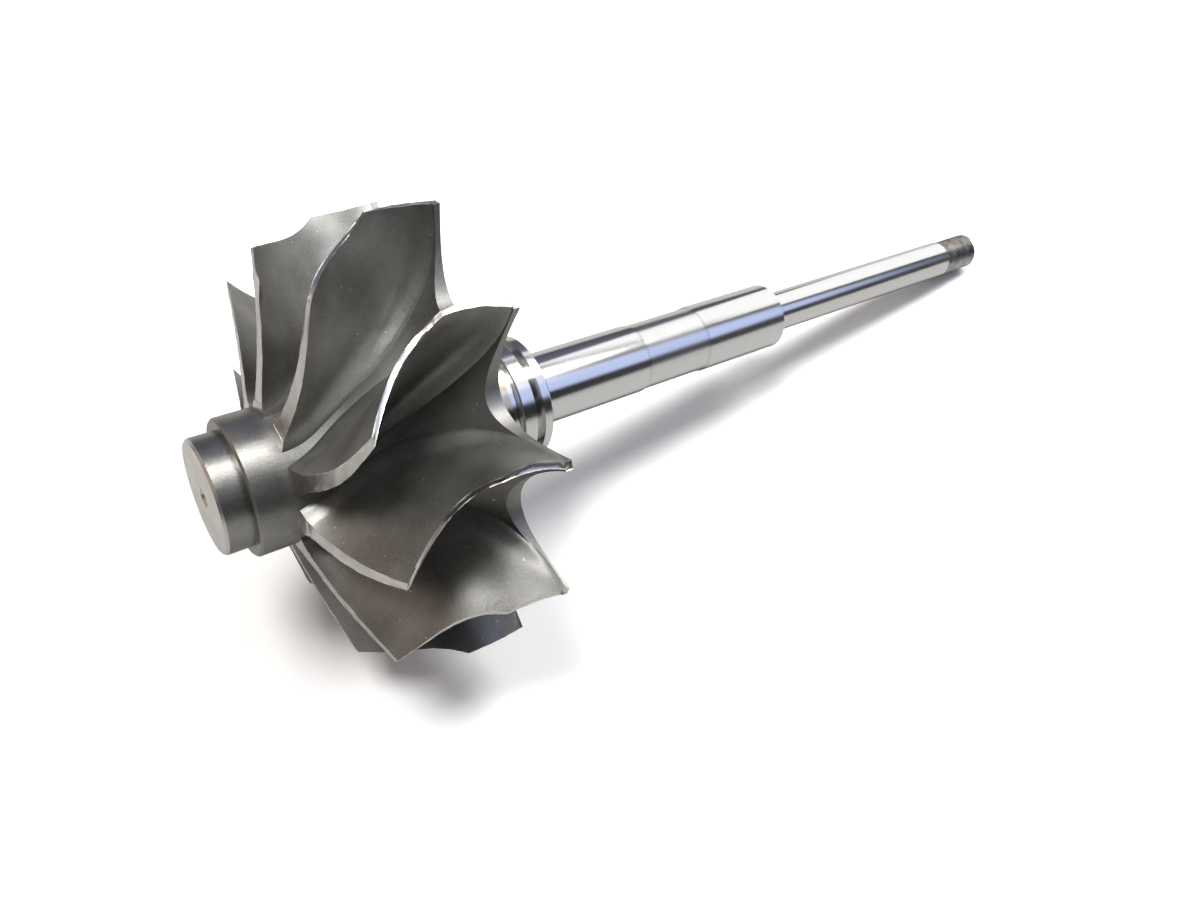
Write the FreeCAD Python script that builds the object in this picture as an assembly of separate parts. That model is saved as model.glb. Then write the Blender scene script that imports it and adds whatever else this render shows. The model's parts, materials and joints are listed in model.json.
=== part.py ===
import FreeCAD, Part
import math
import os

# Turbine wheel of an exhaust turbocharger, welded to its shaft, lying as it comes to rest.
# Lengths are in millimetres and angles in degrees. Stations are distances from the nose face along the axis.

# Driving dimensions of the wheel casting
blade_count = 10
tip_diameter = 68.0
exducer_diameter = 60.8
hub_diameter = 19.8
nose_diameter = 16.5
nose_length = 3.9
nose_chamfer = 0.35
hub_chamfer = 0.3
hub_front_length = 5.4
exducer_rake = 5.2
shroud_length = 12.6
inducer_width = 9.9
back_thickness = 1.0
back_rim_pull = 1.0
back_rim_pull_diameter = 51.0
back_dish_pull = 5.5
neck_after_back = 2.9
neck_diameter = 19.0
weld_after_back = 5.1
centre_hole_diameter = 1.6
centre_hole_depth = 3.5
countersink_diameter = 2.9
scallop_floor_diameter = 45.8
scallop_floor_curve = 5.1

# Driving dimensions of the blades
wrap_angle = 21.0
wrap_power = 2.28
flat_before_back = 7.0
root_straightening = 1.05
root_straight_until = 3.1
tip_hook = 3.1
shroud_power = 3.0
exducer_root_half = 1.2
exducer_tip_half = 0.56
inducer_root_half = 0.6
inducer_tip_half = 0.34
front_flare = 1.1
middle_flare = 2.1
flare_height = 3.2
root_depth = 3.0

# Driving dimensions of the shaft
weld_bead_length = 1.0
relief_length = 1.4
relief_diameter = 17.4
land_length = 2.3
rim_diameter = 19.2
ring_groove_width = 1.4
ring_groove_diameter = 15.8
rim_length = 1.5
edge_break = 0.2
journal_diameter = 11.6
waist_diameter = 11.2
waist_taper = 0.8
front_journal_length = 21.6
waist_length = 13.8
rear_journal_length = 18.2
shoulder_chamfer = 0.9
stub_diameter = 7.2
stub_length = 59.6
thread_length = 10.0
thread_diameter = 6.8
thread_chamfer = 0.8

# Stations along the axis
hub_front_at = nose_length
exducer_root_at = hub_front_at + hub_front_length
exducer_tip_at = exducer_root_at + exducer_rake
inducer_front_at = exducer_tip_at + shroud_length
wheel_back_at = inducer_front_at + inducer_width
weld_at = wheel_back_at + weld_after_back
relief_at = weld_at + weld_bead_length
land_at = relief_at + relief_length
ring_groove_at = land_at + land_length
rim_at = ring_groove_at + ring_groove_width
journal_at = rim_at + rim_length
waist_at = journal_at + front_journal_length
rear_journal_at = waist_at + waist_length
shoulder_at = rear_journal_at + rear_journal_length
tip_at = shoulder_at + stub_length
thread_at = tip_at - thread_length
flat_at = wheel_back_at - flat_before_back
disc_front_at = wheel_back_at - back_thickness

tip_radius = tip_diameter / 2
hub_radius = hub_diameter / 2
exducer_radius = exducer_diameter / 2
pitch = 360.0 / blade_count

# Where the control points of a blade's side faces lie: along its length, up its root flare, and above the flare
chord_samples = 14
flare_steps = (0.0, 0.25, 0.6, 1.0)
span_steps = (0.35, 0.65, 1.0)
surface_degree = 3

# Share of a quarter ellipse's half axis at which its spline's inner control points lie
quarter_pull = 4 / 3 * (math.sqrt(2) - 1)


def axial_point(station, radius):
    """A point of a turned profile, with the axis along X."""
    return FreeCAD.Vector(station, 0, radius)


def turned(points):
    """Revolves a closed profile, given as (station, radius) corners, about the axis."""
    corners = [axial_point(station, radius) for station, radius in points]
    face = Part.Face(Part.makePolygon(corners + corners[:1]))
    return face.revolve(FreeCAD.Vector(0, 0, 0), FreeCAD.Vector(1, 0, 0), 360)


def wheel_core():
    """Nose, hub and back disc of the casting before its scallops are cut, as one turned form."""
    nose_radius = nose_diameter / 2
    sink_radius = countersink_diameter / 2
    hole_radius = centre_hole_diameter / 2
    neck_radius = neck_diameter / 2
    neck_at = wheel_back_at + neck_after_back
    front = [
        (weld_at, neck_radius),
        (weld_at, 0),
        (centre_hole_depth + hole_radius, 0),
        (centre_hole_depth, hole_radius),
        (sink_radius - hole_radius, hole_radius),
        (0, sink_radius),
        (0, nose_radius - nose_chamfer),
        (nose_chamfer, nose_radius),
        (hub_front_at, nose_radius),
        (hub_front_at, hub_radius - hub_chamfer),
        (hub_front_at + hub_chamfer, hub_radius),
        (exducer_root_at, hub_radius),
    ]
    corners = [axial_point(station, radius) for station, radius in front]
    edges = [Part.LineSegment(first, second).toShape() for first, second in zip(corners, corners[1:])]
    rim_front = axial_point(disc_front_at, tip_radius)
    rim_back = axial_point(wheel_back_at, tip_radius)
    neck_start = axial_point(neck_at, neck_radius)
    rise = Part.BezierCurve()
    rise.setPoles([
        corners[-1],
        axial_point(blend(exducer_root_at, disc_front_at, quarter_pull), hub_radius),
        axial_point(disc_front_at, blend(tip_radius, hub_radius, quarter_pull)),
        rim_front,
    ])
    fall = Part.BezierCurve()
    fall.setPoles([
        rim_back,
        axial_point(wheel_back_at - back_rim_pull, back_rim_pull_diameter / 2),
        axial_point(wheel_back_at - back_dish_pull, neck_radius),
        neck_start,
    ])
    edges.append(rise.toShape())
    edges.append(Part.LineSegment(rim_front, rim_back).toShape())
    edges.append(fall.toShape())
    edges.append(Part.LineSegment(neck_start, corners[0]).toShape())
    face = Part.Face(Part.Wire(edges))
    return face.revolve(FreeCAD.Vector(0, 0, 0), FreeCAD.Vector(1, 0, 0), 360)


def scallop():
    """Cutter for the bay in the back disc between two blades: a parabola driven along the axis."""
    floor_radius = scallop_floor_diameter / 2
    outer_radius = tip_radius + root_depth
    half_width = math.sqrt(2 * scallop_floor_curve * (outer_radius - floor_radius))
    start = FreeCAD.Vector(exducer_root_at, -half_width, outer_radius)
    end = FreeCAD.Vector(exducer_root_at, half_width, outer_radius)
    bay = Part.BezierCurve()
    bay.setPoles([start, FreeCAD.Vector(exducer_root_at, 0, 2 * floor_radius - outer_radius), end])
    outline = Part.Wire([bay.toShape(), Part.makeLine(end, start)])
    cutter = Part.Face(outline).extrude(FreeCAD.Vector(weld_at - exducer_root_at, 0, 0))
    middle = pitch / 2 + camber_angle(wheel_back_at - back_thickness / 2)
    cutter.rotate(FreeCAD.Vector(0, 0, 0), FreeCAD.Vector(1, 0, 0), middle)
    return cutter


def hub_curve(m):
    """Station and radius of the blade root: a quarter of an ellipse from the exducer to the tip circle."""
    turn = math.radians(90 * m)
    length = disc_front_at - exducer_root_at
    height = tip_radius - hub_radius
    return exducer_root_at + length * math.sin(turn), tip_radius - height * math.cos(turn)


def shroud_curve(m):
    """Station and radius of the blade's outer edge: nearly straight at the exducer, then flaring to the tip."""
    rise = (tip_radius - exducer_radius) * m ** shroud_power
    return exducer_tip_at + shroud_length * m, exducer_radius + rise


def camber_angle(station):
    """Angle of the blade's middle surface about the axis. It is the same at every radius."""
    angle = 0.0
    if station < flat_at:
        reach = (flat_at - station) / (flat_at - exducer_tip_at)
        angle += wrap_angle * reach ** wrap_power
    else:
        reach = (station - flat_at) / flat_before_back
        angle += tip_hook * reach ** 2
    straight_from = exducer_root_at + root_straight_until
    if station < straight_from:
        angle -= root_straightening * (straight_from - station) ** 2
    return angle


def blend(start, end, share):
    """Value a share of the way from start to end."""
    return start + (end - start) * share


def half_thickness(m, span, height):
    """Half of the blade's thickness round the axis, with the root's flare, which is widest halfway along."""
    root = blend(exducer_root_half, inducer_root_half, m)
    tip = blend(exducer_tip_half, inducer_tip_half, m)
    flare = 0.0
    if height < flare_height:
        foot = (front_flare + 4 * middle_flare * m) * (1 - m)
        flare = foot * (1 - height / flare_height) ** 2
    return blend(root, tip, span ** 2) + flare


def section_stations(m):
    """Stations, radii and half thicknesses of one blade fibre, from inside the hub to the shroud."""
    hub_station, radius = hub_curve(m)
    outer_station, outer_radius = shroud_curve(m)
    length = math.hypot(outer_station - hub_station, outer_radius - radius)
    sunk = blend(0, back_thickness / 2, m)
    fibre = [(hub_station + sunk, radius - root_depth * (1 - m), half_thickness(m, 0, 0))]
    heights = [blend(0, flare_height, step) for step in flare_steps]
    heights += [blend(flare_height, length, step) for step in span_steps]
    for height in heights:
        share = height / length
        station = blend(hub_station, outer_station, share)
        fibre.append((station, blend(radius, outer_radius, share), half_thickness(m, share, height)))
    return fibre


def even_knots(pole_count):
    """Knots and multiplicities of a clamped spline with evenly spaced knots."""
    spans = pole_count - surface_degree
    end = [surface_degree + 1]
    return list(range(spans + 1)), end + [1] * (spans - 1) + end


def blade_side(side):
    """One side face of a blade, as a smooth surface controlled by the points of its fibres."""
    grid = []
    for index in range(chord_samples + 1):
        row = []
        for station, radius, half in section_stations(index / chord_samples):
            angle = math.radians(camber_angle(station)) + side * half / radius
            row.append(FreeCAD.Vector(station, -radius * math.sin(angle), radius * math.cos(angle)))
        grid.append(row)
    u_knots, u_mults = even_knots(len(grid))
    v_knots, v_mults = even_knots(len(grid[0]))
    surface = Part.BSplineSurface()
    surface.buildFromPolesMultsKnots(
        grid, u_mults, v_mults, u_knots, v_knots, False, False, surface_degree, surface_degree
    )
    return surface


def blade():
    """One blade as a closed solid between its two side faces."""
    left = blade_side(-1)
    right = blade_side(1)
    faces = [left.toShape(), right.toShape()]
    u_first, u_last, v_first, v_last = left.bounds()
    for u in (u_first, u_last):
        faces.append(Part.makeRuledSurface(left.uIso(u).toShape(), right.uIso(u).toShape()))
    for v in (v_first, v_last):
        faces.append(Part.makeRuledSurface(left.vIso(v).toShape(), right.vIso(v).toShape()))
    shell = Part.makeShell(faces)
    shell.sewShape()
    return Part.makeSolid(shell)


def ring_of(pattern):
    """Copies of a shape, one for each blade, spaced evenly round the axis."""
    copies = []
    for index in range(blade_count):
        copy = pattern.copy()
        copy.rotate(FreeCAD.Vector(0, 0, 0), FreeCAD.Vector(1, 0, 0), index * pitch)
        copies.append(copy)
    return copies


def turbine_wheel():
    """The whole casting: the turned core with its scallops cut, and its ring of blades."""
    core = wheel_core().cut(ring_of(scallop()))
    return core.multiFuse(ring_of(blade()))


def rotor_shaft():
    """Collar with its seal groove, two journals with a waist between them, and the slim threaded end."""
    neck = neck_diameter / 2
    rim = rim_diameter / 2
    journal = journal_diameter / 2
    stub = stub_diameter / 2
    thread = thread_diameter / 2
    return turned([
        (weld_at, 0),
        (weld_at, neck),
        (relief_at, neck),
        (relief_at + edge_break, relief_diameter / 2),
        (land_at - edge_break, relief_diameter / 2),
        (land_at, rim - edge_break),
        (land_at + edge_break, rim),
        (ring_groove_at, rim),
        (ring_groove_at, ring_groove_diameter / 2),
        (rim_at, ring_groove_diameter / 2),
        (rim_at, rim),
        (journal_at - edge_break, rim),
        (journal_at, rim - edge_break),
        (journal_at, journal),
        (waist_at, journal),
        (waist_at + waist_taper, waist_diameter / 2),
        (rear_journal_at - waist_taper, waist_diameter / 2),
        (rear_journal_at, journal),
        (shoulder_at - shoulder_chamfer, journal),
        (shoulder_at, journal - shoulder_chamfer),
        (shoulder_at, stub),
        (thread_at - edge_break, stub),
        (thread_at, thread),
        (tip_at - thread_chamfer, thread),
        (tip_at, thread - thread_chamfer),
        (tip_at, 0),
    ])


def lay_down(shapes):
    """Turns and tilts the pieces about the axis so that two blades and the shaft's end carry them."""
    origin = FreeCAD.Vector(0, 0, 0)
    corner_angle = camber_angle(wheel_back_at)
    roll = 180 - pitch / 2 - corner_angle
    corner_half = math.degrees(inducer_tip_half / tip_radius)
    wheel_depth = tip_radius * math.cos(math.radians(pitch / 2 - corner_half))
    reach = tip_at - thread_chamfer - wheel_back_at
    tilt = math.degrees(math.atan2(wheel_depth - thread_diameter / 2, reach))
    for shape in shapes:
        shape.rotate(origin, FreeCAD.Vector(1, 0, 0), roll)
        shape.rotate(origin, FreeCAD.Vector(0, 1, 0), tilt)
    box = Part.makeCompound(shapes).optimalBoundingBox(False, False)
    middle = FreeCAD.Vector(-(box.XMin + box.XMax) / 2, -(box.YMin + box.YMax) / 2, -box.ZMin)
    for shape in shapes:
        shape.translate(middle)
    return tilt, roll, middle


def main():
    nodes = {"turbine_wheel": turbine_wheel(), "rotor_shaft": rotor_shaft()}
    tilt, roll, middle = lay_down(list(nodes.values()))
    print("tilt", round(tilt, 4), "nose face at", middle, "roll", round(roll, 4))
    os.makedirs("parts", exist_ok=True)
    for name, shape in nodes.items():
        shape.exportStep(f"parts/{name}.step")
        print(name, shape.isValid(), len(shape.Solids), round(shape.Volume, 1))


main()
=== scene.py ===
import json
import math

import bpy
from mathutils import Matrix, Vector


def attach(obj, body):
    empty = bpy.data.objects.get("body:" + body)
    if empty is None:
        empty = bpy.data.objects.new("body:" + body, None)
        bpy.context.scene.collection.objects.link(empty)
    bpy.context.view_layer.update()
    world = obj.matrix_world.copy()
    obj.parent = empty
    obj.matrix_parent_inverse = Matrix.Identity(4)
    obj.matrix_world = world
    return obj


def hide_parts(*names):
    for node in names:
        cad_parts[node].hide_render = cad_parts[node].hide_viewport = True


bl_info = {
    "name": "Turbine wheel",
    "version": (1, 0, 0),
    "blender": (4, 5, 0),
    "location": "View3D > Sidebar > Turbine wheel",
    "description": "Finishes a cast turbine wheel and its ground shaft, and sets them on a pale stage",
    "category": "Object",
}

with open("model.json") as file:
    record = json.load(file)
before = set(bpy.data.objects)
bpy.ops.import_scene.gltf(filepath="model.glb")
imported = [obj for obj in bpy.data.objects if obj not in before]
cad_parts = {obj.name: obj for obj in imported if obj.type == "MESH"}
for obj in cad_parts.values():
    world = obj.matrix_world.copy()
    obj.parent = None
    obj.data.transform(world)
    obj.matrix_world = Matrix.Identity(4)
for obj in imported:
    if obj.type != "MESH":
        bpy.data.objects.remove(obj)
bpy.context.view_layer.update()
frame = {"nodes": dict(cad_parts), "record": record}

MM_PER_METRE = 1000


def seat(name):
    """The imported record's entry for one of the shaft's seats."""
    return next(mount for mount in frame["record"]["mounts"] if mount["name"] == name)


THREAD = seat("nut_thread")
AXIS = Vector(THREAD["axis"]).normalized()
ON_AXIS = Vector(THREAD["pos_m"])
CREST_RADIUS = THREAD["dims"]["r_mm"] / MM_PER_METRE


def reach(node):
    """How far a CAD node reaches along the axis from the middle of the thread, both ways."""
    stations = [(vertex.co - ON_AXIS).dot(AXIS) for vertex in frame["nodes"][node].data.vertices]
    return min(stations), max(stations)


NOSE = ON_AXIS + AXIS * reach("turbine_wheel")[0]


def stretch(name):
    """Where one of the shaft's seats begins and ends, as distances from the nose face."""
    middle = (Vector(seat(name)["pos_m"]) - NOSE).length
    half = seat(name)["dims"]["length_mm"] / MM_PER_METRE / 2
    return middle - half, middle + half


# Stations: distances from the nose face along the axis
WELD_AT = (ON_AXIS - NOSE).length + reach("rotor_shaft")[0]
WAIST_AT = stretch("turbine_end_journal")[1]
WAIST_END_AT = stretch("compressor_end_journal")[0]
THREAD_AT = stretch("nut_thread")[0]
TIP_AT = (ON_AXIS - NOSE).length + reach("rotor_shaft")[1]

TILT = math.atan2(-AXIS.z, AXIS.x)
TO_PART = Matrix.Translation(NOSE) @ Matrix.Rotation(TILT, 4, "Y")
TO_AXIS = TO_PART.inverted()


# Settings that a user would change


class RotorSizes(bpy.types.PropertyGroup):
    """Sizes of the details that are added to the solids."""

    thread_pitch: bpy.props.FloatProperty(
        name="Thread pitch", description="Distance from one crest to the next",
        default=0.00075, unit="LENGTH", precision=5,
    )
    thread_depth: bpy.props.FloatProperty(
        name="Thread depth", description="Height of the thread from root to crest",
        default=0.00042, unit="LENGTH", precision=5,
    )
    crest_width: bpy.props.FloatProperty(
        name="Crest width", description="Width of the thread's crest",
        default=0.0001, unit="LENGTH", precision=5,
    )
    thread_steps: bpy.props.IntProperty(
        name="Thread steps", description="Facets in one turn of the thread", default=40, min=12,
    )
    tip_chamfer: bpy.props.FloatProperty(
        name="Tip chamfer", description="Chamfer at the shaft's threaded end",
        default=0.0008, unit="LENGTH", precision=5,
    )
    hub_radius: bpy.props.FloatProperty(
        name="Hub radius", description="Radius of the hub's plain front part",
        default=0.0099, unit="LENGTH", precision=5,
    )
    hub_length: bpy.props.FloatProperty(
        name="Hub length", description="Distance from the nose face to where the blades begin",
        default=0.0093, unit="LENGTH", precision=5,
    )
    hub_fade: bpy.props.FloatProperty(
        name="Hub fade", description="Distance over which the hub's smoother skin ends before the blades",
        default=0.0018, unit="LENGTH", precision=5,
    )
    root_start: bpy.props.FloatProperty(
        name="Root start", description="Height above the hub at which its smoother skin begins to end",
        default=0.0001, unit="LENGTH", precision=5,
    )
    root_end: bpy.props.FloatProperty(
        name="Root end", description="Height above the hub at which its smoother skin has ended",
        default=0.0005, unit="LENGTH", precision=5,
    )
    nose_face: bpy.props.FloatProperty(
        name="Nose face", description="How far the turned skin of the nose face reaches back",
        default=0.0004, unit="LENGTH", precision=5,
    )
    exducer_radius: bpy.props.FloatProperty(
        name="Exducer radius", description="Radius of the blades' tips at the front",
        default=0.0304, unit="LENGTH", precision=5,
    )
    exducer_tip: bpy.props.FloatProperty(
        name="Exducer tip", description="Distance from the nose face to the blades' tips at the front",
        default=0.0145, unit="LENGTH", precision=5,
    )
    shroud_length: bpy.props.FloatProperty(
        name="Shroud length", description="Length of the blades' curved outer edge along the axis",
        default=0.0126, unit="LENGTH", precision=5,
    )
    neck_length: bpy.props.FloatProperty(
        name="Neck length", description="Length of the turned neck before the weld",
        default=0.0022, unit="LENGTH", precision=5,
    )
    edge_break: bpy.props.FloatProperty(
        name="Edge break", description="Width of the bright border along a turned edge",
        default=0.00012, unit="LENGTH", precision=5,
    )
    dent_station: bpy.props.FloatProperty(
        name="Dent station", description="Distance of the dented edge from the nose face",
        default=0.0135, unit="LENGTH", precision=5,
    )
    dent_across: bpy.props.FloatProperty(
        name="Dent across", description="Sideways distance of the dent from the axis",
        default=0.01435, unit="LENGTH", precision=5,
    )
    dent_up: bpy.props.FloatProperty(
        name="Dent up", description="Distance of the dent above the axis",
        default=0.0217, unit="LENGTH", precision=5,
    )
    dent_reach: bpy.props.FloatProperty(
        name="Dent reach", description="Half the length of the dent along the edge",
        default=0.0026, unit="LENGTH", precision=5,
    )
    dent_side: bpy.props.FloatProperty(
        name="Dent side", description="Distance over which the bulge grows across the edge",
        default=0.0004, unit="LENGTH", precision=5,
    )
    dent_depth: bpy.props.FloatProperty(
        name="Dent depth", description="How far the edge bulges sideways",
        default=0.0012, unit="LENGTH", precision=5,
    )
    turned_skin: bpy.props.FloatProperty(
        name="Turned skin", description="How far a turned face may lie from the lathe's path",
        default=0.0003, unit="LENGTH", precision=5,
    )
    bead_middle: bpy.props.FloatProperty(
        name="Bead middle", description="Distance from the weld's face to the middle of its bead",
        default=0.0004, unit="LENGTH", precision=5,
    )
    tint_start: bpy.props.FloatProperty(
        name="Tint start", description="Distance from the bead's middle at which the heat tint fades",
        default=0.0002, unit="LENGTH", precision=5,
    )
    tint_end: bpy.props.FloatProperty(
        name="Tint end", description="Distance from the bead's middle at which the heat tint is gone",
        default=0.0009, unit="LENGTH", precision=5,
    )
    waist_taper: bpy.props.FloatProperty(
        name="Waist taper", description="Length of the tapers at both ends of the waist",
        default=0.0008, unit="LENGTH", precision=5,
    )


class RotorColours(bpy.types.PropertyGroup):
    """Colours of the metals."""

    cast_skin: bpy.props.FloatVectorProperty(
        name="Cast skin", description="Satin skin of the blades",
        subtype="COLOR", size=3, default=(0.28, 0.275, 0.255), min=0, max=1,
    )
    dark_skin: bpy.props.FloatVectorProperty(
        name="Dark skin", description="Darker mottling of the cast skin",
        subtype="COLOR", size=3, default=(0.19, 0.185, 0.172), min=0, max=1,
    )
    pale_grain: bpy.props.FloatVectorProperty(
        name="Pale grain", description="Paler grain of the cast skin",
        subtype="COLOR", size=3, default=(0.42, 0.42, 0.40), min=0, max=1,
    )
    specks: bpy.props.FloatVectorProperty(
        name="Specks", description="Scattered bright specks of the cast skin",
        subtype="COLOR", size=3, default=(0.75, 0.74, 0.70), min=0, max=1,
    )
    machined: bpy.props.FloatVectorProperty(
        name="Turned faces", description="Turned edges of the blades and the nose",
        subtype="COLOR", size=3, default=(0.69, 0.66, 0.62), min=0, max=1,
    )
    stained: bpy.props.FloatVectorProperty(
        name="Stained turned faces", description="Duller patches of the turned faces",
        subtype="COLOR", size=3, default=(0.50, 0.48, 0.45), min=0, max=1,
    )
    # Painted highlight: the borders of the turned edges are partly rubbed bright and partly painted brighter
    # as the highlight of a rounded edge; the dull colour marks less rubbed stretches
    edge_wear_highlight: bpy.props.FloatVectorProperty(
        name="Broken edges", description="Narrow bright borders of the turned edges",
        subtype="COLOR", size=3, default=(0.90, 0.90, 0.88), min=0, max=1,
    )
    dull_edge: bpy.props.FloatVectorProperty(
        name="Dull edges", description="Less rubbed stretches of those borders",
        subtype="COLOR", size=3, default=(0.55, 0.54, 0.52), min=0, max=1,
    )
    steel: bpy.props.FloatVectorProperty(
        name="Ground steel", description="Shaft and collar",
        subtype="COLOR", size=3, default=(0.68, 0.68, 0.67), min=0, max=1,
    )
    # Painted shade: a darker colour on the tapers of the waist, in place of the reflection that their slope
    # would show under the cylinder normals
    waist_taper_shade: bpy.props.FloatVectorProperty(
        name="Waist lines", description="Faint lines on the tapers of the waist",
        subtype="COLOR", size=3, default=(0.30, 0.30, 0.30), min=0, max=1,
    )
    thread: bpy.props.FloatVectorProperty(
        name="Thread", description="Cut flanks of the thread",
        subtype="COLOR", size=3, default=(0.52, 0.53, 0.53), min=0, max=1,
    )
    dark_thread: bpy.props.FloatVectorProperty(
        name="Dark thread", description="Darker patches of the thread",
        subtype="COLOR", size=3, default=(0.29, 0.30, 0.30), min=0, max=1,
    )
    heat_tint: bpy.props.FloatVectorProperty(
        name="Heat tint", description="Straw colour beside the weld",
        subtype="COLOR", size=3, default=(0.52, 0.43, 0.26), min=0, max=1,
    )


class StageSettings(bpy.types.PropertyGroup):
    """Camera, lamps, floor and room."""

    camera_place: bpy.props.FloatVectorProperty(
        name="Camera place", description="Where the camera stands",
        subtype="XYZ", size=3, default=(-0.0740, -0.0823, 0.1549), unit="LENGTH", precision=4,
    )
    camera_heading: bpy.props.FloatProperty(
        name="Camera heading", description="Direction that the camera looks in, from +X towards +Y",
        subtype="ANGLE", default=math.radians(53.96),
    )
    camera_drop: bpy.props.FloatProperty(
        name="Camera drop", description="How far below the horizon the camera looks",
        subtype="ANGLE", default=math.radians(56.72),
    )
    camera_roll: bpy.props.FloatProperty(
        name="Camera roll", description="How far the camera leans about its line of sight",
        subtype="ANGLE", default=math.radians(3.56),
    )
    camera_lens: bpy.props.FloatProperty(
        name="Lens", description="Focal length in millimetres", default=29.51, min=1,
    )
    camera_sensor: bpy.props.FloatProperty(
        name="Sensor", description="Width of the camera's sensor in millimetres", default=36, min=1,
    )
    camera_near: bpy.props.FloatProperty(
        name="Near limit", description="Distance at which the camera begins to see",
        default=0.005, unit="LENGTH", precision=4,
    )
    floor_colour: bpy.props.FloatVectorProperty(
        name="Floor", description="Colour of the floor",
        subtype="COLOR", size=3, default=(0.50, 0.495, 0.48), min=0, max=1,
    )
    floor_exposed: bpy.props.FloatVectorProperty(
        name="Floor in the picture", description="Colour of the floor as the camera sees it, overexposed",
        subtype="COLOR", size=3, default=(1.20, 1.20, 1.18), min=0, max=2,
    )
    floor_size: bpy.props.FloatProperty(
        name="Floor size", description="Length of the floor's sides", default=4.0, unit="LENGTH",
    )
    fade_start: bpy.props.FloatProperty(
        name="Fade start", description="Distance at which the floor begins to fade to white in the picture",
        default=0.22, unit="LENGTH",
    )
    fade_end: bpy.props.FloatProperty(
        name="Fade end", description="Distance at which the floor is white in the picture",
        default=0.50, unit="LENGTH",
    )
    room_low: bpy.props.FloatVectorProperty(
        name="Low room", description="Colour of the room near the table",
        subtype="COLOR", size=3, default=(0.05, 0.05, 0.05), min=0, max=1,
    )
    room_high: bpy.props.FloatVectorProperty(
        name="High room", description="Colour of the room overhead",
        subtype="COLOR", size=3, default=(0.14, 0.14, 0.15), min=0, max=1,
    )
    lamp_distance: bpy.props.FloatProperty(
        name="Lamp distance", description="Distance from the rotor to the lamps",
        default=1.0, unit="LENGTH",
    )
    lamp_strength: bpy.props.FloatProperty(
        name="Lamp strength", description="Brightness of all lamps, as a share of their own",
        default=1.0, min=0,
    )


# Soft lamps: heading and rise of the middle in degrees, length and width in metres, brightness
LAMPS = {
    "key_lamp": (158, 77, 0.30, 0.30, 24.0),
    "high_lamp": (12, 61, 0.46, 0.40, 9.0),
    "front_softbox": (19, 20, 0.84, 0.80, 1.3),
    "top_softbox": (-16, 64, 0.60, 0.60, 1.2),
}


# Helpers for modelling


# A face whose normal leans less than this along the axis is one of the shaft's round faces
ROUND_FACE = 0.3
# Distance at which the CAD mesh's loose corners are joined
MERGE_DISTANCE = 1e-6
# Distance at which the seam between the thread's turns is joined
SEAM_DISTANCE = 1e-7


def deselect_all():
    for thing in bpy.context.selected_objects:
        thing.select_set(False)


def make_active(piece):
    """Selects one object alone, so that the operators act on it."""
    deselect_all()
    piece.select_set(True)
    bpy.context.view_layer.objects.active = piece


def unselect_mesh(piece):
    """Clears the selection inside a piece, so that only what is picked next is edited."""
    make_active(piece)
    bpy.ops.object.mode_set(mode="EDIT")
    bpy.ops.mesh.select_all(action="DESELECT")
    bpy.ops.object.mode_set(mode="OBJECT")


def place(piece, matrix):
    """Moves a piece by a matrix and applies it, so that its object stays at the origin."""
    make_active(piece)
    piece.matrix_world = matrix
    bpy.ops.object.transform_apply(location=True, rotation=True, scale=True)


def merged_copy(node, name):
    """A copy of a CAD node with its triangles joined, turned onto the X axis with the nose face at zero."""
    piece = bpy.data.objects.new(name, frame["nodes"][node].data.copy())
    bpy.context.scene.collection.objects.link(piece)
    make_active(piece)
    if piece.data.has_custom_normals:
        bpy.ops.mesh.customdata_custom_splitnormals_clear()
    piece.data.materials.clear()
    bpy.ops.object.mode_set(mode="EDIT")
    bpy.ops.mesh.select_all(action="SELECT")
    bpy.ops.mesh.remove_doubles(threshold=MERGE_DISTANCE)
    bpy.ops.object.mode_set(mode="OBJECT")
    place(piece, TO_AXIS)
    return piece


def smooth(piece, angle):
    """Shades a piece smoothly where its faces meet at less than an angle in degrees."""
    make_active(piece)
    bpy.ops.object.shade_smooth_by_angle(angle=math.radians(angle))


def turned_normals(piece):
    """Shades the shaft's round faces as true cylinders, so that no taper bends the light beside it."""
    normals = [Vector(corner.vector) for corner in piece.data.corner_normals]
    for face in piece.data.polygons:
        if abs(face.normal.x) < ROUND_FACE:
            for corner in face.loop_indices:
                point = piece.data.vertices[piece.data.loops[corner].vertex_index].co
                normals[corner] = Vector((0, point.y, point.z)).normalized()
    piece.data.normals_split_custom_set(normals)


def rotor_position(point):
    """Station and radius of a point of a piece that lies along the X axis."""
    return point.x, math.hypot(point.y, point.z)


def keep_within(vertex, limit):
    """Draws a vertex towards the axis until it lies within a radius."""
    radius = rotor_position(vertex.co)[1]
    if radius > limit:
        vertex.co.yz *= limit / radius


def finish_piece(piece, material=None):
    """Puts a piece on the rotor's body, and gives it its slot and its material where it has only one."""
    if material is not None:
        piece.data.materials.append(material)
    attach(piece, "root")


# Helpers for materials


class Signal:
    """One output of a shader node, so that its maths reads as a plain expression."""

    def __init__(self, shader, socket):
        self.shader = shader
        self.socket = socket

    def other(self, name):
        """Another output of the same node."""
        return Signal(self.shader, self.socket.node.outputs[name])

    def __add__(self, other):
        return self.shader.math("ADD", self, other)

    def __radd__(self, other):
        return self.shader.math("ADD", other, self)

    def __sub__(self, other):
        return self.shader.math("SUBTRACT", self, other)

    def __rsub__(self, other):
        return self.shader.math("SUBTRACT", other, self)

    def __mul__(self, other):
        return self.shader.math("MULTIPLY", self, other)

    def __rmul__(self, other):
        return self.shader.math("MULTIPLY", other, self)

    def __pow__(self, other):
        return self.shader.math("POWER", self, other)


# Sockets of a Mix node that mixes colours
MIX_SHARE, MIX_FIRST, MIX_SECOND = 0, 6, 7
MIX_RESULT = 2


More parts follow.
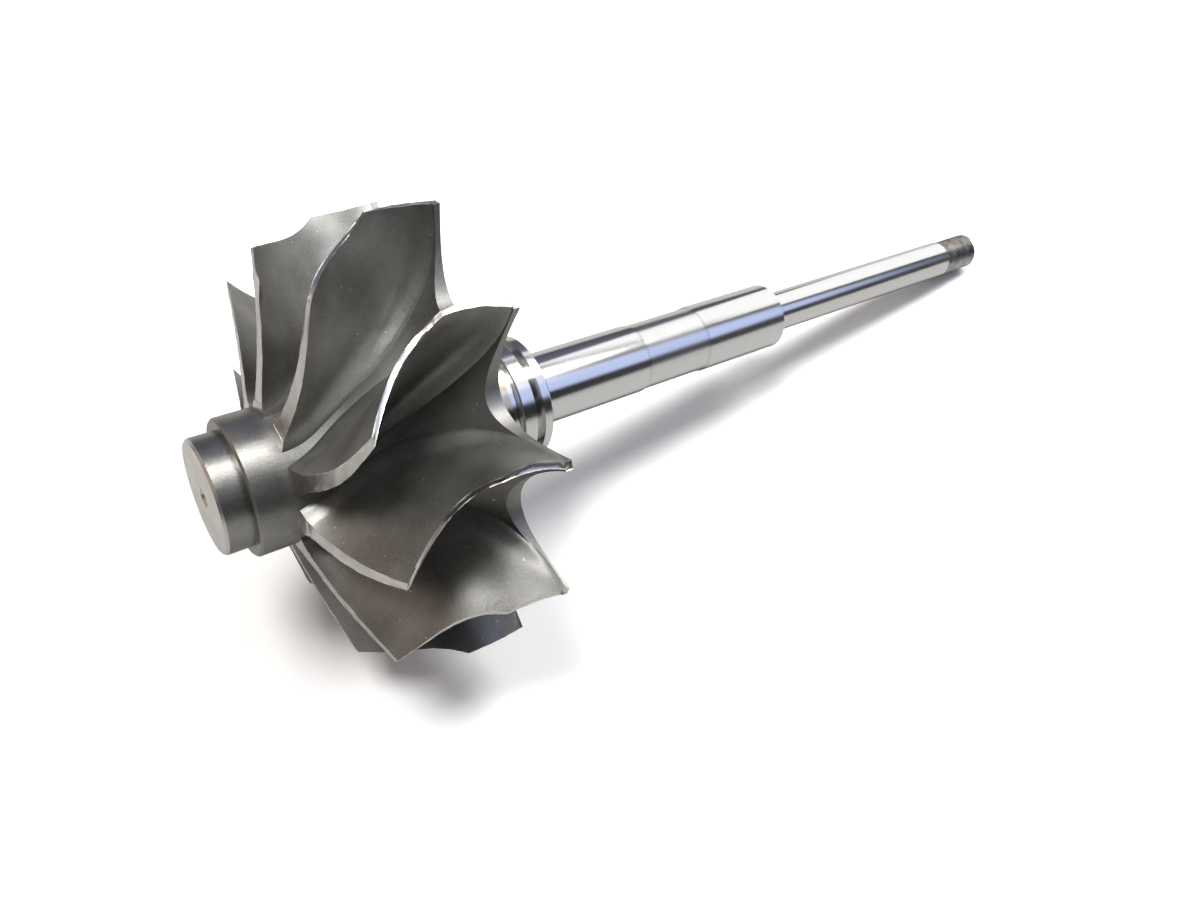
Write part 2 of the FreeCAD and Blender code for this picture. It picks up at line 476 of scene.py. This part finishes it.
class Shader:
    """The nodes of a material or of the world."""

    def __init__(self, owner):
        owner.use_nodes = True
        self.owner = owner
        self.tree = owner.node_tree
        self.tree.nodes.clear()

    def node(self, kind, settings=None, inputs=None, output=0):
        """Adds a node, sets it up, feeds its sockets and returns one of its outputs."""
        node = self.tree.nodes.new(kind)
        for name, value in (settings or {}).items():
            setattr(node, name, value)
        for name, value in (inputs or {}).items():
            if isinstance(value, Signal):
                self.tree.links.new(value.socket, node.inputs[name])
            else:
                node.inputs[name].default_value = value
        return Signal(self, node.outputs[output]) if node.outputs else None

    def math(self, operation, *values):
        """The result of one operation on values or signals."""
        return self.node("ShaderNodeMath", {"operation": operation}, dict(enumerate(values)))

    def step(self, value, start, end):
        """0 where a value is below start, 1 above end, and smooth between."""
        inputs = {"Value": value, "From Min": start, "From Max": end}
        return self.node("ShaderNodeMapRange", {"interpolation_type": "SMOOTHSTEP"}, inputs)

    def mix(self, share, first, second):
        """A colour a share of the way from the first to the second."""
        inputs = {MIX_SHARE: share, MIX_FIRST: opaque(first), MIX_SECOND: opaque(second)}
        return self.node("ShaderNodeMix", {"data_type": "RGBA"}, inputs, MIX_RESULT)

    def point(self):
        """The point on the surface, in the part's own coordinates."""
        return self.node("ShaderNodeTexCoord", output="Object")

    def station_and_radius(self):
        """The point on the surface, as its distance from the nose face and from the axis."""
        settings = {"vector_type": "TEXTURE"}
        inputs = {"Vector": self.point(), "Location": NOSE, "Rotation": (0, TILT, 0)}
        along = self.node("ShaderNodeMapping", settings, inputs)
        station = self.node("ShaderNodeSeparateXYZ", inputs={"Vector": along})
        across = station.other("Y")
        up = station.other("Z")
        return station, (across * across + up * up) ** 0.5

    def noise(self, scale, detail, at=None):
        """A soft random pattern, at the point on the surface if no other is given."""
        inputs = {"Vector": at or self.point(), "Scale": scale, "Detail": detail}
        return self.node("ShaderNodeTexNoise", inputs=inputs)

    def bump(self, height, distance, strength, normal=None):
        """A normal that follows a height, on top of another normal if one is given."""
        inputs = {"Height": height, "Distance": distance, "Strength": strength}
        if normal is not None:
            inputs["Normal"] = normal
        return self.node("ShaderNodeBump", inputs=inputs)

    def surface(self, **inputs):
        """Ends a material with one Principled shader, whose inputs are named as Python names."""
        named = {name.replace("_", " ").title(): value for name, value in inputs.items()}
        shader = self.node("ShaderNodeBsdfPrincipled", inputs=named)
        self.node("ShaderNodeOutputMaterial", inputs={"Surface": shader})
        return self.owner


def opaque(colour):
    """A colour with its alpha, or a link as it is."""
    return colour if isinstance(colour, Signal) else (*colour, 1.0)


def new_shader(name):
    return Shader(bpy.data.materials.new(name))


def cast_skin_material(sizes, colours):
    """Fine-grained satin skin of a casting: mottled, smoother on the hub, with bright specks."""
    shader = new_shader("cast_skin")
    mottle = shader.noise(scale=170, detail=4)
    blotch = shader.noise(scale=45, detail=2)
    grain = shader.noise(scale=3600, detail=3)
    speck = shader.step(shader.noise(scale=2400, detail=0), start=0.85, end=0.88)
    station, radius = shader.station_and_radius()
    blades = shader.step(station, sizes.hub_length - sizes.hub_fade, sizes.hub_length)
    roots = shader.step(radius, sizes.hub_radius + sizes.root_start, sizes.hub_radius + sizes.root_end)
    hub = (1 - blades) * (1 - roots)
    patches = shader.step(mottle * 0.6 + blotch * 0.4, start=0.38, end=0.62)
    pale = shader.step(grain, start=0.30, end=0.75) * 0.25
    skin = shader.mix(patches, colours.dark_skin, colours.cast_skin)
    skin = shader.mix(pale, skin, colours.pale_grain)
    skin = shader.mix(speck, skin, colours.specks)
    waves = shader.bump(shader.noise(scale=260, detail=2), distance=0.00012, strength=0.35)
    normal = shader.bump(grain, distance=0.00004, strength=0.4, normal=waves)
    rough = 0.36 + mottle * 0.10 + grain * 0.08 - speck * 0.12 - hub * 0.12
    return shader.surface(base_color=skin, metallic=0.92, roughness=rough, normal=normal)


# Rings that a lathe or a grinding wheel leaves in one metre
RINGS_PER_METRE = 5200


def turning_marks(shader, station, radius):
    """Fine rings round the axis, slightly uneven."""
    wander = shader.noise(scale=60, detail=1)
    inputs = {"X": station * RINGS_PER_METRE + wander, "Y": radius * RINGS_PER_METRE}
    rings = shader.node("ShaderNodeCombineXYZ", inputs=inputs)
    return shader.noise(scale=1.0, detail=3, at=rings)


def weld_tint(shader, station, sizes):
    """How strongly the thin ring on both sides of the weld is tinted."""
    away = shader.math("ABSOLUTE", station - (WELD_AT + sizes.bead_middle))
    return (1 - shader.step(away, sizes.tint_start, sizes.tint_end)) * 0.8


def machined_material(sizes, colours):
    """Turned faces of the casting: fine rings round the axis, and a heat tint beside the weld."""
    shader = new_shader("turned_faces")
    station, radius = shader.station_and_radius()
    rings = turning_marks(shader, station, radius)
    stain = shader.noise(scale=320, detail=4)
    dull = shader.step(stain, start=0.35, end=0.70) * 0.5
    colour = shader.mix(dull, colours.machined, colours.stained)
    colour = shader.mix(weld_tint(shader, station, sizes), colour, colours.heat_tint)
    normal = shader.bump(rings, distance=0.00001, strength=0.35)
    rough = 0.20 + rings * 0.08 + stain * 0.10
    return shader.surface(base_color=colour, metallic=1.0, roughness=rough, normal=normal)


def edge_wear_highlight_material(colours):
    """Narrow borders of the turned edges, rubbed bright and painted brighter still as the highlight of a
    rounded edge.
    """
    shader = new_shader("edge_wear_highlights")
    rub = shader.noise(scale=900, detail=3)
    # Painted highlight: a brighter border colour along the turned edges, dimmer where less rubbed
    colour = shader.mix(shader.step(rub, start=0.35, end=0.65), colours.dull_edge, colours.edge_wear_highlight)
    return shader.surface(base_color=colour, metallic=1.0, roughness=0.30 + rub * 0.15)


def steel_material(sizes, colours):
    """Ground steel: very fine rings, painted shade on the tapers at both ends of the waist, and a heat tint
    at the weld.
    """
    shader = new_shader("ground_steel")
    station, radius = shader.station_and_radius()
    rings = turning_marks(shader, station, radius)
    haze = shader.noise(scale=90, detail=3)
    begun = shader.step(station, WAIST_AT, WAIST_AT + sizes.waist_taper)
    ended = shader.step(station, WAIST_END_AT - sizes.waist_taper, WAIST_END_AT)
    waist = begun - ended
    # Painted shade on the tapers of the waist, darkest midway along each, in place of their own reflection
    taper_shade = waist * (1 - waist) * 1.2
    colour = shader.mix(weld_tint(shader, station, sizes), colours.steel, colours.heat_tint)
    colour = shader.mix(taper_shade, colour, colours.waist_taper_shade)
    normal = shader.bump(rings, distance=0.000008, strength=0.35)
    rough = 0.11 + rings * 0.07 + haze * 0.05 + waist * 0.05
    return shader.surface(base_color=colour, metallic=1.0, roughness=rough, normal=normal)


def thread_material(colours):
    """Cut thread: darker flanks than the ground shaft."""
    shader = new_shader("cut_thread")
    stain = shader.noise(scale=700, detail=3)
    colour = shader.mix(shader.step(stain, start=0.30, end=0.70), colours.dark_thread, colours.thread)
    return shader.surface(base_color=colour, metallic=1.0, roughness=0.22 + stain * 0.12)


# Pieces


# Material slots of the wheel
CAST, TURNED, EDGE_WEAR_HIGHLIGHT = range(3)

# Shares of the hub's radius, up to which a face is the hub's and from which it is a blade's
HUB_SHARE = 1.005
BLADE_SHARE = 1.1
# How much of a turned rim's normal may lean round the axis, and how much of it faces forward at the front
RIM_LEAN = 0.35
RIM_FORWARD = 0.5
# The shroud line widens with this power of the distance from the exducer
SHROUD_POWER = 3
# How far the bright border falls off, as a share of its width
BORDER_FALL = 0.6
# Shares of the thread's depth: how far its ridge sinks into the shaft, and how near its start counts as on it
RIDGE_SINK = 0.25
START_MARGIN = 0.25


def is_machined(face, sizes, tip_radius):
    """Whether a face of the wheel is turned: the nose face, the neck and the blades' outer edges."""
    station, radius = rotor_position(face.center)
    if radius < sizes.hub_radius * HUB_SHARE:
        return station < sizes.nose_face or station > WELD_AT - sizes.neck_length
    round_axis = Vector((0, -face.center.z, face.center.y)).normalized()
    if abs(face.normal.dot(round_axis)) > RIM_LEAN:
        return False
    if radius > tip_radius - sizes.turned_skin:
        return True
    rake = (sizes.exducer_tip - sizes.hub_length) / (sizes.exducer_radius - sizes.hub_radius)
    exducer = sizes.hub_length + (radius - sizes.hub_radius) * rake
    share = max(0, (station - sizes.exducer_tip) / sizes.shroud_length)
    shroud = sizes.exducer_radius + (tip_radius - sizes.exducer_radius) * share ** SHROUD_POWER
    if abs(station - exducer) < sizes.turned_skin:
        return face.normal.x < -RIM_FORWARD
    return abs(radius - shroud) < sizes.turned_skin and station < sizes.exducer_tip + sizes.shroud_length


def is_rim(face, sizes):
    """Whether a face belongs to the turned rim of a blade."""
    return face.material_index == TURNED and rotor_position(face.center)[1] > sizes.hub_radius * BLADE_SHARE


def break_edges(piece, sizes):
    """Gives the blades' turned rims narrow chamfered borders in the material with the painted edge highlight
    and rubbed wear.
    """
    unselect_mesh(piece)
    for face in piece.data.polygons:
        face.select = is_rim(face, sizes)
    normals = {}
    sides = set()
    for face in piece.data.polygons:
        if face.select:
            for index in face.vertices:
                normals.setdefault(index, []).append(face.normal.copy())
        else:
            sides.update(face.vertices)
    falls = {index: sum(normals[index], Vector()).normalized() for index in normals if index in sides}
    bpy.ops.object.mode_set(mode="EDIT")
    bpy.ops.mesh.select_mode(type="FACE")
    bpy.ops.mesh.inset(thickness=sizes.edge_break, use_boundary=True, use_even_offset=False)
    bpy.ops.object.mode_set(mode="OBJECT")
    # The new border faces take the material whose brighter colour is partly rubbed wear and partly a painted
    # edge highlight
    for face in piece.data.polygons:
        if is_rim(face, sizes) and not face.select:
            face.material_index = EDGE_WEAR_HIGHLIGHT
    for index, normal in falls.items():
        piece.data.vertices[index].co -= normal * sizes.edge_break * BORDER_FALL


def dent_edge(piece, sizes):
    """Bulges one side of a blade's front edge, where the photo shows that it was struck."""
    middle = Vector((sizes.dent_station, sizes.dent_across, sizes.dent_up))
    sideways = Vector((0, -middle.z, middle.y)).normalized()
    unselect_mesh(piece)
    for face in piece.data.polygons:
        face.select = (face.center - middle).length < sizes.dent_reach
    bpy.ops.object.mode_set(mode="EDIT")
    bpy.ops.mesh.select_mode(type="FACE")
    bpy.ops.mesh.subdivide(number_cuts=2)
    bpy.ops.object.mode_set(mode="OBJECT")
    for vertex in piece.data.vertices:
        away = vertex.co - middle
        share = 1 - (away.length / sizes.dent_reach) ** 2
        side = min(1, away.dot(sideways) / sizes.dent_side)
        if share > 0 and side > 0:
            vertex.co += sideways * sizes.dent_depth * side * share ** 2


class ROTOR_OT_wheel(bpy.types.Operator):
    """Finishes the cast wheel: smooth blades, cast skin, turned faces and their broken edges"""

    bl_idname = "rotor.wheel"
    bl_label = "Cast wheel"

    def execute(self, context):
        sizes = context.scene.rotor_sizes
        colours = context.scene.rotor_colours
        wheel = merged_copy("turbine_wheel", "wheel_casting")
        wheel.data.materials.append(cast_skin_material(sizes, colours))
        wheel.data.materials.append(machined_material(sizes, colours))
        wheel.data.materials.append(edge_wear_highlight_material(colours))
        tip_radius = max(rotor_position(vertex.co)[1] for vertex in wheel.data.vertices)
        for face in wheel.data.polygons:
            face.material_index = TURNED if is_machined(face, sizes, tip_radius) else CAST
        break_edges(wheel, sizes)
        dent_edge(wheel, sizes)
        for vertex in wheel.data.vertices:
            keep_within(vertex, tip_radius)
        smooth(wheel, angle=32)
        place(wheel, TO_PART)
        finish_piece(wheel)
        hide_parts("turbine_wheel")
        return {"FINISHED"}


class ROTOR_OT_shaft(bpy.types.Operator):
    """Finishes the ground shaft and thins it inside its thread"""

    bl_idname = "rotor.shaft"
    bl_label = "Ground shaft"

    def execute(self, context):
        sizes = context.scene.rotor_sizes
        colours = context.scene.rotor_colours
        shaft = merged_copy("rotor_shaft", "ground_shaft")
        unselect_mesh(shaft)
        for vertex in shaft.data.vertices:
            vertex.select = vertex.co.x > THREAD_AT - sizes.thread_depth * START_MARGIN
        share = (CREST_RADIUS - sizes.thread_depth) / CREST_RADIUS
        bpy.ops.object.mode_set(mode="EDIT")
        bpy.ops.transform.resize(value=(1, share, share), center_override=(0, 0, 0))
        bpy.ops.object.mode_set(mode="OBJECT")
        smooth(shaft, angle=25)
        turned_normals(shaft)
        place(shaft, TO_PART)
        finish_piece(shaft, steel_material(sizes, colours))
        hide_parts("rotor_shaft")
        return {"FINISHED"}


class ROTOR_OT_thread(bpy.types.Operator):
    """Winds the ridge of the fine thread round the shaft's end"""

    bl_idname = "rotor.thread"
    bl_label = "Fine thread"

    def execute(self, context):
        sizes = context.scene.rotor_sizes
        pitch = sizes.thread_pitch
        first = THREAD_AT + pitch / 2
        # Whole turns, of which the last stays half a pitch or more from the tip
        turns = math.floor((TIP_AT - first) / pitch - 0.5)
        deselect_all()
        bpy.ops.mesh.primitive_plane_add(size=pitch, rotation=(math.pi / 2, 0, 0))
        ridge = context.object
        ridge.name = "shaft_thread"
        bpy.ops.object.transform_apply(location=True, rotation=True, scale=True)
        root = CREST_RADIUS - sizes.thread_depth
        for vertex in ridge.data.vertices:
            on_crest = vertex.co.z > 0
            side = math.copysign(sizes.crest_width if on_crest else pitch, vertex.co.x)
            height = CREST_RADIUS if on_crest else root - sizes.thread_depth * RIDGE_SINK
            vertex.co = (first + side / 2, 0, height)
        screw = ridge.modifiers.new("screw", "SCREW")
        screw.axis = "X"
        screw.angle = math.tau * turns
        screw.screw_offset = pitch * turns
        screw.steps = sizes.thread_steps * turns
        screw.render_steps = screw.steps
        screw.use_smooth_shade = True
        make_active(ridge)
        bpy.ops.object.modifier_apply(modifier="screw")
        self.close(ridge)
        for vertex in ridge.data.vertices:
            in_chamfer = vertex.co.x - (TIP_AT - sizes.tip_chamfer)
            keep_within(vertex, CREST_RADIUS - max(0, in_chamfer))
        smooth(ridge, angle=30)
        place(ridge, TO_PART)
        finish_piece(ridge, thread_material(context.scene.rotor_colours))
        return {"FINISHED"}

    def close(self, ridge):
        """Merges the seam between the turns, closes both ends and turns the faces outwards."""
        make_active(ridge)
        bpy.ops.object.mode_set(mode="EDIT")
        bpy.ops.mesh.select_all(action="SELECT")
        bpy.ops.mesh.remove_doubles(threshold=SEAM_DISTANCE)
        bpy.ops.mesh.select_all(action="DESELECT")
        bpy.ops.mesh.select_mode(type="EDGE")
        bpy.ops.mesh.select_non_manifold()
        bpy.ops.mesh.edge_face_add()
        bpy.ops.mesh.select_all(action="SELECT")
        bpy.ops.mesh.normals_make_consistent(inside=False)
        bpy.ops.object.mode_set(mode="OBJECT")


class ROTOR_OT_stage(bpy.types.Operator):
    """Sets up the floor, the lamps and the camera"""

    bl_idname = "rotor.stage"
    bl_label = "Stage"

    def execute(self, context):
        stage = context.scene.rotor_stage
        deselect_all()
        bpy.ops.mesh.primitive_plane_add(size=stage.floor_size)
        floor = context.object
        floor.name = "floor"
        floor.data.materials.append(floor_material(stage))
        self.add_camera(context, stage)
        self.add_lamps(context, stage)
        set_world(context, stage)
        context.scene.view_settings.view_transform = "Standard"
        return {"FINISHED"}

    def add_camera(self, context, stage):
        """The photograph's camera."""
        bpy.ops.object.camera_add()
        camera = context.object
        camera.data.sensor_width = stage.camera_sensor
        camera.data.lens = stage.camera_lens
        camera.data.clip_start = stage.camera_near
        camera.matrix_world = looking(
            Vector(stage.camera_place), stage.camera_heading, stage.camera_drop, stage.camera_roll,
        )
        context.scene.camera = camera

    def add_lamps(self, context, stage):
        """Two lamps overhead, which cast the shadows, and two wide softboxes, all facing the rotor."""
        for name, (heading, rise, length, width, brightness) in LAMPS.items():
            heading, rise = math.radians(heading), math.radians(rise)
            middle = towards(heading, rise) * stage.lamp_distance
            bpy.ops.object.light_add(type="AREA")
            lamp = context.object
            lamp.name = name
            lamp.data.shape = "RECTANGLE"
            lamp.data.size = length
            lamp.data.size_y = width
            lamp.data.energy = brightness * stage.lamp_strength * math.pi * length * width
            lamp.matrix_world = looking(middle, heading + math.pi, rise, roll=0)


def towards(heading, rise):
    """The direction with a heading, from +X towards +Y, and a rise above the level."""
    level = math.cos(rise)
    return Vector((level * math.cos(heading), level * math.sin(heading), math.sin(rise)))


def looking(spot, heading, drop, roll):
    """Where a camera or lamp stands that looks along a heading and down by a drop."""
    turn = Matrix.Rotation(heading - math.pi / 2, 4, "Z") @ Matrix.Rotation(math.pi / 2 - drop, 4, "X")
    return Matrix.Translation(spot) @ turn @ Matrix.Rotation(roll, 4, "Z")


def floor_material(stage):
    """Paper that the camera sees overexposed, with the rotor's shadow, and that fades to white."""
    shader = new_shader("floor_paper")
    camera = shader.node("ShaderNodeLightPath", output="Is Camera Ray")
    paper = shader.mix(camera, stage.floor_colour, stage.floor_exposed)
    matt = shader.node("ShaderNodeBsdfDiffuse", inputs={"Color": paper})
    away = shader.node("ShaderNodeVectorMath", {"operation": "LENGTH"}, {0: shader.point()}, output="Value")
    white = shader.mix(camera * shader.step(away, stage.fade_start, stage.fade_end), (0, 0, 0), (1, 1, 1))
    glow = shader.node("ShaderNodeEmission", inputs={"Color": white, "Strength": 1.0})
    both = shader.node("ShaderNodeAddShader", inputs={0: matt, 1: glow})
    shader.node("ShaderNodeOutputMaterial", inputs={"Surface": both})
    return shader.owner


# What stands round the table: heading and rise of its middle, and how far its even part and its soft rim
# reach from there, all in degrees, and its colour
ROOM = {
    "far wall": (72, 30, 14, 36, (0.15, 0.15, 0.23)),
    "warm wall": (150, 32, 10, 48, (0.55, 0.43, 0.36)),
    "dark side": (-95, 28, 30, 52, (0.01, 0.01, 0.01)),
    "window": (-37, 32, 12, 19, (0.76, 0.88, 1.30)),
}


def set_world(context, stage):
    """A dim room, dark on the camera's side, with a bluish wall, a warm wall and a pale blue window."""
    world = bpy.data.worlds.new("room")
    context.scene.world = world
    shader = Shader(world)
    direction = shader.node("ShaderNodeTexCoord", output="Generated")
    height = shader.node("ShaderNodeSeparateXYZ", inputs={"Vector": direction}, output="Z")
    room = shader.mix(shader.step(height, start=-0.1, end=0.9), stage.room_low, stage.room_high)
    for heading, rise, middle, rim, colour in ROOM.values():
        aim = towards(math.radians(heading), math.radians(rise))
        inputs = {0: direction, 1: aim}
        facing = shader.node("ShaderNodeVectorMath", {"operation": "DOT_PRODUCT"}, inputs, output="Value")
        share = shader.step(facing, math.cos(math.radians(rim)), math.cos(math.radians(middle)))
        room = shader.mix(share, room, colour)
    camera = shader.node("ShaderNodeLightPath", output="Is Camera Ray")
    seen = shader.mix(camera, room, (1, 1, 1))
    background = shader.node("ShaderNodeBackground", inputs={"Color": seen, "Strength": 1.0})
    shader.node("ShaderNodeOutputWorld", inputs={"Surface": background})


class ROTOR_PT_panel(bpy.types.Panel):
    """Settings and build buttons in the sidebar"""

    bl_label = "Turbine wheel"
    bl_idname = "ROTOR_PT_panel"
    bl_space_type = "VIEW_3D"
    bl_region_type = "UI"
    bl_category = "Turbine wheel"

    def draw(self, context):
        for group in (context.scene.rotor_sizes, context.scene.rotor_colours, context.scene.rotor_stage):
            box = self.layout.box()
            for name in group.__annotations__:
                box.prop(group, name)
        for operator in PIECES:
            self.layout.operator(operator.bl_idname)


PIECES = (ROTOR_OT_wheel, ROTOR_OT_shaft, ROTOR_OT_thread, ROTOR_OT_stage)
GROUPS = {"rotor_sizes": RotorSizes, "rotor_colours": RotorColours, "rotor_stage": StageSettings}


def register():
    for kind in (*GROUPS.values(), *PIECES, ROTOR_PT_panel):
        bpy.utils.register_class(kind)
    for name, group in GROUPS.items():
        setattr(bpy.types.Scene, name, bpy.props.PointerProperty(type=group))


def unregister():
    for name in GROUPS:
        delattr(bpy.types.Scene, name)
    for kind in reversed((*GROUPS.values(), *PIECES, ROTOR_PT_panel)):
        bpy.utils.unregister_class(kind)


def main():
    register()
    bpy.ops.rotor.wheel()
    bpy.ops.rotor.shaft()
    bpy.ops.rotor.thread()
    bpy.ops.rotor.stage()


if __name__ == "__main__":
    main()
